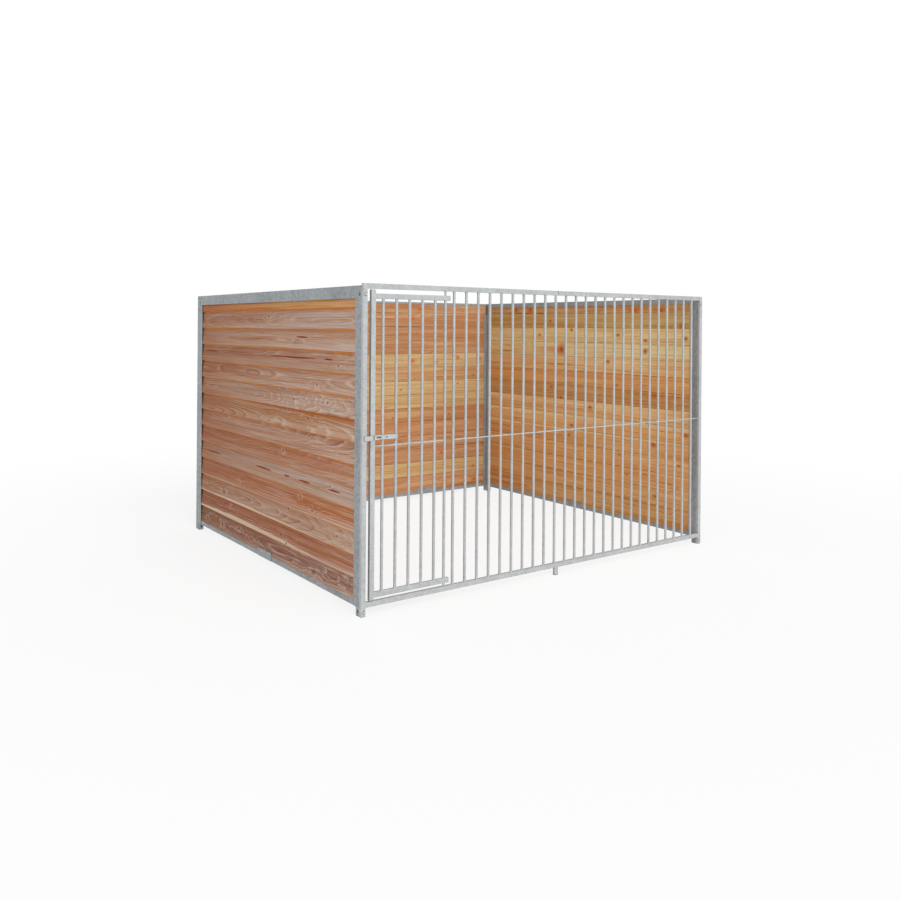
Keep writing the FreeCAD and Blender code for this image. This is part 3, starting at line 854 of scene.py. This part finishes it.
def boards_object(name, boards):
    """All boards of a panel as one mesh. Its faces carry the data that the timber material reads."""
    points, faces, data = [], [], []
    for board in boards:
        rows = board.rows()
        stations = board.stations()
        first = len(points)
        for u in stations:
            points += [board.spot(u, row) for row in rows]
        faces += strip_faces(first, len(rows), len(stations)) + end_faces(first, len(rows), len(stations))
        data += board_face_data(board, rows, stations)
    piece = mesh_object(name, points, faces)
    for key, kind, field in FACE_LAYERS:
        values = [value for face in data for value in face[key]]
        piece.data.attributes.new(key, kind, "FACE").data.foreach_set(field, values)
    return piece


class Shown(NamedTuple):
    """What the photograph shows of a panel, by board from the lowest up. The rest is left to chance.

    A knot has its distance from the front end, its height over the board's lip and its radius. A crack has
    its two ends and its height, a strip of painted shade under the lip its height at the front and at the
    back. These are metres.
    """
    outside: tuple = ()
    figure: tuple = ()
    saps: dict = {}
    edge_band: dict = {}
    strips: dict = {}
    cracks: dict = {}
    knots: dict = {}


LEFT = Shown(
    outside=("umber", "chestnut", "rose", "tawny", "rose", "russet", "salmon", "amber", "rose", "salmon",
             "salmon", "rose", "rose", "gold"),
    figure=(0.7, 0.9, 0.8, 0.7, 0.4, 0.4, 0.9, 0.9, 1.0, 0.7, 0.45, 0.4, 0.7, 0.22),
    saps={1: 0.9, 2: 0.5, 3: 0.2},
    # Painted shade under the lip above these boards; board 7's is a wide painted shadow where the lip stands
    # off, widest at the front.
    edge_band={7: (0.021, 0.009), 8: (0.010, 0.007), 12: (0.006, 0.006)},
    cracks={
        4: ((0.19, 0.34, 0.065), (0.56, 0.72, 0.065), (0.85, 0.93, 0.065), (1.12, 1.38, 0.065),
            (2.00, 2.37, 0.065)),
        10: ((0.29, 0.40, 0.075), (0.48, 1.17, 0.075), (2.07, 2.35, 0.075)),
        11: ((0.61, 0.77, 0.075),),
    },
    knots={
        0: ((0.12, 0.09, 0.010), (0.51, 0.04, 0.017), (1.44, 0.05, 0.012), (1.65, 0.08, 0.012),
            (1.96, 0.05, 0.014), (2.26, 0.05, 0.012)),
        1: ((0.88, 0.01, 0.010), (1.82, 0.08, 0.009)),
        2: ((0.23, 0.06, 0.009), (0.87, 0.11, 0.010), (1.93, 0.04, 0.016)),
        3: ((0.53, 0.03, 0.010), (0.70, 0.09, 0.010), (1.65, 0.04, 0.009)),
        7: ((0.60, 0.08, 0.010), (0.88, 0.11, 0.008), (1.15, 0.02, 0.010)),
        8: ((0.35, 0.07, 0.010), (0.79, 0.06, 0.011)),
        9: ((0.48, 0.04, 0.009),),
        12: ((1.18, 0.08, 0.010),),
    },
)
RIGHT = Shown(
    strips={4: 0.016, 5: 0.034},
    knots={
        4: ((0.36, 0.11, 0.013), (1.30, 0.09, 0.008)),
        5: ((0.05, 0.09, 0.011), (1.27, 0.05, 0.008)),
        6: ((1.05, 0.10, 0.010),),
        7: ((0.35, 0.12, 0.013), (1.41, 0.03, 0.010), (1.53, 0.12, 0.009)),
        9: ((0.85, 0.12, 0.009),),
        10: ((0.45, 0.09, 0.014), (1.40, 0.08, 0.032)),
        11: ((0.06, 0.07, 0.010), (0.45, 0.05, 0.007), (0.74, 0.09, 0.008), (1.28, 0.13, 0.010),
             (1.69, 0.08, 0.007)),
        12: ((0.09, 0.04, 0.014), (1.55, 0.08, 0.010)),
        13: ((0.30, 0.04, 0.018), (0.57, 0.04, 0.019), (1.82, 0.06, 0.022), (2.02, 0.06, 0.024)),
    },
)
BACK = Shown()

# Tones of the inside, from the lowest board up. The photograph shows the right wall and the back wall's right
# half, and hides the other two.
# The side walls' tones are painted lighter than the back wall's, as painted light on the right wall's inner
# face, which the sun leaves in shade.
INSIDE_RIGHT = ("rust", "brown", "brown", "brown", "brown", "apricot", "honey", "rust", "brown", "honey",
                "cream", "cream", "olive", "rust")
INSIDE_BACK = ("orange", "straw", "orange", "orange", "orange", "orange", "straw", "straw", "tan", "straw",
               "orange", "orange", "orange", "orange")
HIDDEN_BACK = ("straw", "orange", "tan", "orange", "orange", "straw", "orange", "orange", "straw", "orange",
               "tan", "orange", "straw", "orange")
HIDDEN_LEFT = ("brown", "rust", "apricot", "brown", "honey", "brown", "rust", "cream", "brown", "apricot",
               "brown", "olive", "cream", "brown")

# Chances for what isn't shown. Sizes are metres, and a crack's start is a share of the panel's length.
PLAIN_OUTSIDE = ("rose", "salmon", "russet", "rose", "salmon", "umber", "tawny")
PLAIN_FIGURE = (0.3, 1.0)
PLAIN_SAPS = (0.0, 0.0, 0.3, 0.7)
# Height of the painted shade under each lip, at the front and at the back.
PLAIN_LIP_SHADE = (0.008, 0.008)
FEW_KNOTS = 2
FIRST_KNOT = (0.05, 0.6)
KNOT_SPACING = (0.22, 0.7)
KNOT_HEIGHT = (0.03, 0.115)
KNOT_RADII = (0.003, 0.004, 0.005, 0.006, 0.008, 0.012)
CRACK_CHANCE = 0.22
CRACK_HEIGHT = (0.05, 0.085)
CRACK_START = (0.1, 0.7)
CRACKS_IN_LINE = (1, 3)
CRACK_LENGTH = (0.08, 0.3)
CRACK_SPACING = (0.08, 0.4)
CRACK_END_CLEAR = 0.1


def random_knots(panel, rng):
    knots = []
    place = rng.uniform(*FIRST_KNOT)
    while place < panel.length:
        knots.append((place, rng.uniform(*KNOT_HEIGHT), rng.choice(KNOT_RADII)))
        place += rng.uniform(*KNOT_SPACING)
    return knots


def random_cracks(panel, rng):
    cracks = []
    line = rng.uniform(*CRACK_HEIGHT)
    if rng.random() < CRACK_CHANCE:
        place = rng.uniform(*CRACK_START) * panel.length
        for _ in range(rng.randint(*CRACKS_IN_LINE)):
            size = rng.uniform(*CRACK_LENGTH)
            if place + size < panel.length - CRACK_END_CLEAR:
                cracks.append((place, place + size, line))
            place += size + rng.uniform(*CRACK_SPACING)
    return cracks


def board_look(panel, index, rng, inside, shown):
    """A board's looks as the photograph shows them, or else by chance."""
    knots = random_knots(panel, rng)
    cracks = random_cracks(panel, rng)
    sap = rng.choice(PLAIN_SAPS)
    figure = rng.uniform(*PLAIN_FIGURE)
    if shown.outside:
        outside = shown.outside[index]
        figure = shown.figure[index]
        cracks = shown.cracks.get(index, ())
        sap = shown.saps.get(index, 0.0)
    else:
        outside = rng.choice(PLAIN_OUTSIDE)
    if shown.knots:
        knots = shown.knots.get(index, knots[:FEW_KNOTS])
    edge_band = shown.edge_band.get(index, PLAIN_LIP_SHADE)
    strip = shown.strips.get(index, 0.0)
    return Look(outside, inside[index], figure, knots, cracks, sap, edge_band, strip)


def clad(panel, material, inside, shown, seed):
    """The boards of one panel as one piece."""
    rng = random.Random(seed)
    boards = []
    for index in range(panel.count):
        look = board_look(panel, index, rng, inside, shown)
        boards.append(Board(panel, index, rng, look))
    piece = boards_object(panel.node.replace("_boards", "_weatherboards"), boards)
    dress(piece, material, "frame", "softwood", panel.node)


TURNS = [2 * math.pi * step / RING_STEPS for step in range(RING_STEPS)]
CIRCLE = [(math.cos(turn), math.sin(turn)) for turn in TURNS]


def add_rings(points, faces, rings):
    """Joins closed rings of points, one after another, and closes both ends."""
    size = len(rings[0])
    first = len(points)
    for ring in rings:
        points += ring
    faces += strip_faces(first, size, len(rings)) + end_faces(first, size, len(rings))


# All upright bars are as thick as the row of fixed ones.
row_low, row_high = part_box("front_bars")
BAR_RADIUS = (row_high[1] - row_low[1]) / 2


def bar_places(node, count):
    """The middles of a row of equal bars, from the node's box."""
    low, high = (Vector(corner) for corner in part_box(node))
    first, last = low.x + BAR_RADIUS, high.x - BAR_RADIUS
    return [first + (last - first) * step / (count - 1) for step in range(count)]


def tie_rod(name, node, crossings):
    """A round rod through a row of bars, thickened by a weld where it meets each of them."""
    low, high = (Vector(corner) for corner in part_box(node))
    middle = (low + high) / 2
    places = {low.x, high.x}
    for bar in crossings:
        for side in (-1, 1):
            places |= {bar + side * (BAR_RADIUS + step) for step in ROD_STATIONS}
    points, faces, rings = [], [], []
    for x in sorted(place for place in places if low.x <= place <= high.x):
        gap = min(abs(x - bar) - BAR_RADIUS for bar in crossings)
        near = max(0.0, 1.0 - max(gap, 0.0) / ROD_FILLET_LENGTH)
        radius = ROD_RADIUS + ROD_FILLET * near ** 2
        rings.append([(x, middle.y + radius * c, middle.z + radius * s) for c, s in CIRCLE])
    add_rings(points, faces, rings)
    return mesh_object(name, points, faces)


def weld_beads(name, bars, node, lower_rail, upper_rail):
    """Small weld fillets at both ends of each bar, where it stands between its rails."""
    low, high = (Vector(corner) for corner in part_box(node))
    middle = (low.y + high.y) / 2
    deep = BAR_RADIUS + BEAD_PROUD
    profile = [(-BEAD_ROOT, 1.0)] + [(share * BEAD_HEIGHT, grow) for share, grow in BEAD_PROFILE]
    points, faces = [], []
    for height, way in ((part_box(lower_rail)[1][2], 1), (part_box(upper_rail)[0][2], -1)):
        for bar in bars:
            rings = []
            for rise, grow in profile:
                wide = BAR_RADIUS + BEAD_SPREAD * grow
                z = height + way * rise
                rings.append([(bar + wide * c, middle + min(deep, wide) * s, z) for c, s in CIRCLE])
            add_rings(points, faces, rings)
    return mesh_object(name, points, faces)


def rail_seam(name, node, x):
    """A ground-back weld round a rail, where its two lengths meet."""
    low, high = (Vector(corner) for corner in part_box(node))
    profile = [(across, proud * SEAM_PROUD) for across, proud in SEAM_PROFILE]
    profile = [(profile[0][0], -SEAM_ROOT)] + profile + [(profile[-1][0], -SEAM_ROOT)]
    points, faces, rings = [], [], []
    for across, grow in profile:
        place = x + across * SEAM_WIDTH
        rings.append([(place, low.y - grow, low.z - grow), (place, high.y + grow, low.z - grow),
                      (place, high.y + grow, high.z + grow), (place, low.y - grow, high.z + grow)])
    add_rings(points, faces, rings)
    return mesh_object(name, points, faces)


def over_limit(tree, value, limit):
    """1 where a value is over a limit, and else 0."""
    node = tree.nodes.new("ShaderNodeMath")
    node.operation = "GREATER_THAN"
    node.inputs[1].default_value = limit
    tree.links.new(value, node.inputs[0])
    return node.outputs[0]


def long_edge_marks(name, least):
    """Geometry nodes that mark the sharp edges over a length, for the bevel that follows them."""
    tree = bpy.data.node_groups.new(name, "GeometryNodeTree")
    for way in ("INPUT", "OUTPUT"):
        tree.interface.new_socket("Geometry", in_out=way, socket_type="NodeSocketGeometry")
    ends = tree.nodes.new("GeometryNodeInputMeshEdgeVertices")
    length = tree.nodes.new("ShaderNodeVectorMath")
    length.operation = "DISTANCE"
    tree.links.new(ends.outputs["Position 1"], length.inputs[0])
    tree.links.new(ends.outputs["Position 2"], length.inputs[1])
    angle = tree.nodes.new("GeometryNodeInputMeshEdgeAngle")
    both = tree.nodes.new("ShaderNodeMath")
    both.operation = "MULTIPLY"
    tree.links.new(over_limit(tree, length.outputs["Value"], least), both.inputs[0])
    tree.links.new(over_limit(tree, angle.outputs[0], SHARP_ANGLE), both.inputs[1])
    store = tree.nodes.new("GeometryNodeStoreNamedAttribute")
    store.data_type = "FLOAT"
    store.domain = "EDGE"
    store.inputs["Name"].default_value = "bevel_weight_edge"
    tree.links.new(tree.nodes.new("NodeGroupInput").outputs[0], store.inputs["Geometry"])
    tree.links.new(both.outputs[0], store.inputs["Value"])
    tree.links.new(store.outputs[0], tree.nodes.new("NodeGroupOutput").inputs[0])
    return tree


def add_bevel(piece, name, width, limit, segments):
    bevel = piece.modifiers.new(name, "BEVEL")
    bevel.width = width
    bevel.segments = segments
    bevel.limit_method = limit
    bevel.angle_limit = SHARP_ANGLE
    bevel.use_clamp_overlap = False


def soften(piece):
    """Rounded edges on a CAD node, without touching its mesh.

    They are wide along a tube's corners, small along a plate's outline, and small on all edges elsewhere.
    """
    piece.modifiers.new("weld", "WELD").merge_threshold = WELD_DISTANCE
    if piece.name.endswith(TUBE_NODES):
        piece.modifiers.new("marks", "NODES").node_group = TUBE_MARKS
        add_bevel(piece, "corners", TUBE_RADIUS, "WEIGHT", TUBE_SEGMENTS)
    elif piece.name in PLATE_NODES:
        piece.modifiers.new("marks", "NODES").node_group = PLATE_MARKS
        add_bevel(piece, "edges", EDGE_RADIUS, "WEIGHT", EDGE_SEGMENTS)
    else:
        add_bevel(piece, "edges", EDGE_RADIUS, "ANGLE", EDGE_SEGMENTS)
    normals = piece.modifiers.new("normals", "WEIGHTED_NORMAL")
    normals.keep_sharp = False
    normals.weight = NORMAL_WEIGHT


def set_world(scene):
    """A white backdrop that lights the object less brightly than it looks."""
    world = bpy.data.worlds.new("studio")
    world.use_nodes = True
    tree = world.node_tree
    path = tree.nodes.new("ShaderNodeLightPath")
    seen = path.outputs["Is Camera Ray"]
    for kind in ("Is Glossy Ray", "Is Transmission Ray"):
        either = tree.nodes.new("ShaderNodeMath")
        either.operation = "MAXIMUM"
        tree.links.new(seen, either.inputs[0])
        tree.links.new(path.outputs[kind], either.inputs[1])
        seen = either.outputs[0]
    level = tree.nodes.new("ShaderNodeMapRange")
    level.inputs["To Min"].default_value = WORLD_LIGHT
    level.inputs["To Max"].default_value = 1.0
    tree.links.new(seen, level.inputs["Value"])
    backdrop = tree.nodes["Background"]
    backdrop.inputs["Color"].default_value = WHITE
    tree.links.new(level.outputs[0], backdrop.inputs["Strength"])
    scene.world = world


def add_sun(scene):
    sun = bpy.data.objects.new("studio_sun", bpy.data.lights.new("studio_sun", "SUN"))
    sun.data.energy = SUN_STRENGTH
    sun.data.angle = math.radians(SUN_ANGLE)
    sun.rotation_euler = (-Vector(SUN_FROM)).to_track_quat("-Z", "Y").to_euler()
    scene.collection.objects.link(sun)


def add_floor():
    half = FLOOR_SIZE / 2
    ground = cad_box[0][2]
    points = [(-half, -half, ground), (half, -half, ground), (half, half, ground), (-half, half, ground)]
    floor = mesh_object("studio_ground", points, [(0, 1, 2, 3)])
    floor.data.materials.append(floor_material())


def add_camera(scene):
    lens = bpy.data.cameras.new("photo_camera")
    lens.sensor_width = SENSOR_WIDTH
    lens.lens = FOCAL_PIXELS * SENSOR_WIDTH / IMAGE_SIZE
    lens.shift_x = (IMAGE_SIZE / 2 - PRINCIPAL_PIXEL[0]) / IMAGE_SIZE
    lens.shift_y = (PRINCIPAL_PIXEL[1] - IMAGE_SIZE / 2) / IMAGE_SIZE
    lens.clip_end = CAMERA_REACH
    camera = bpy.data.objects.new("photo_camera", lens)
    camera.location = CAMERA_PLACE
    camera.rotation_euler = (math.radians(90), math.radians(-CAMERA_ROLL), math.radians(-CAMERA_YAW))
    scene.collection.objects.link(camera)
    scene.camera = camera


studio = bpy.context.scene
studio.view_settings.view_transform = "Standard"
set_world(studio)
add_sun(studio)
add_floor()
add_camera(studio)

STEEL = {slot: zinc(slot, *finish) for slot, finish in ZINC.items()}
TIMBER_SIDES = Timber("softwood_sides", 1).material
TIMBER_BACK = Timber("softwood_back", 0).material
TUBE_MARKS = long_edge_marks("tube_corners", TUBE_EDGE_LENGTH)
PLATE_MARKS = long_edge_marks("plate_outline", PLATE_EDGE_LENGTH)

for name, node in nodes.items():
    if name.endswith(REPLACED_NODES):
        continue
    slot = node.data.materials[0].name.split(".")[0]
    node.data.materials.clear()
    node.data.materials.append(STEEL[slot])
    if name not in ROUND_NODES:
        soften(node)

clad(Panel("left_boards", 1, -1), TIMBER_SIDES, HIDDEN_LEFT, LEFT, seed=11)
clad(Panel("right_boards", 1, 1), TIMBER_SIDES, INSIDE_RIGHT, RIGHT, seed=23)
clad(Panel("back_left_boards", 0, 1), TIMBER_BACK, HIDDEN_BACK, BACK, seed=37)
clad(Panel("back_right_boards", 0, 1), TIMBER_BACK, INSIDE_BACK, BACK, seed=41)

tube = STEEL["galvanised_tube"]
rows = (("front", "frame", bar_places("front_bars", FIXED_BARS)),
        ("door", "door", bar_places("door_bars", DOOR_BARS)))
for row, body, bars in rows:
    rod = tie_rod(row + "_tie_rod", row + "_tie_bars", bars)
    dress(rod, tube, body, "galvanised_tube", row + "_tie_bars")
for row, body, bars in rows:
    beads = weld_beads(row + "_weld_beads", bars, row + "_bars", row + "_bottom_rail", row + "_top_rail")
    dress(beads, tube, body, "galvanised_tube")
seam = rail_seam("top_rail_seam", "front_top_rail", x=0.0)
dress(seam, STEEL["zinc_weld"], "frame", "galvanised_tube")

bpy.context.view_layer.update()
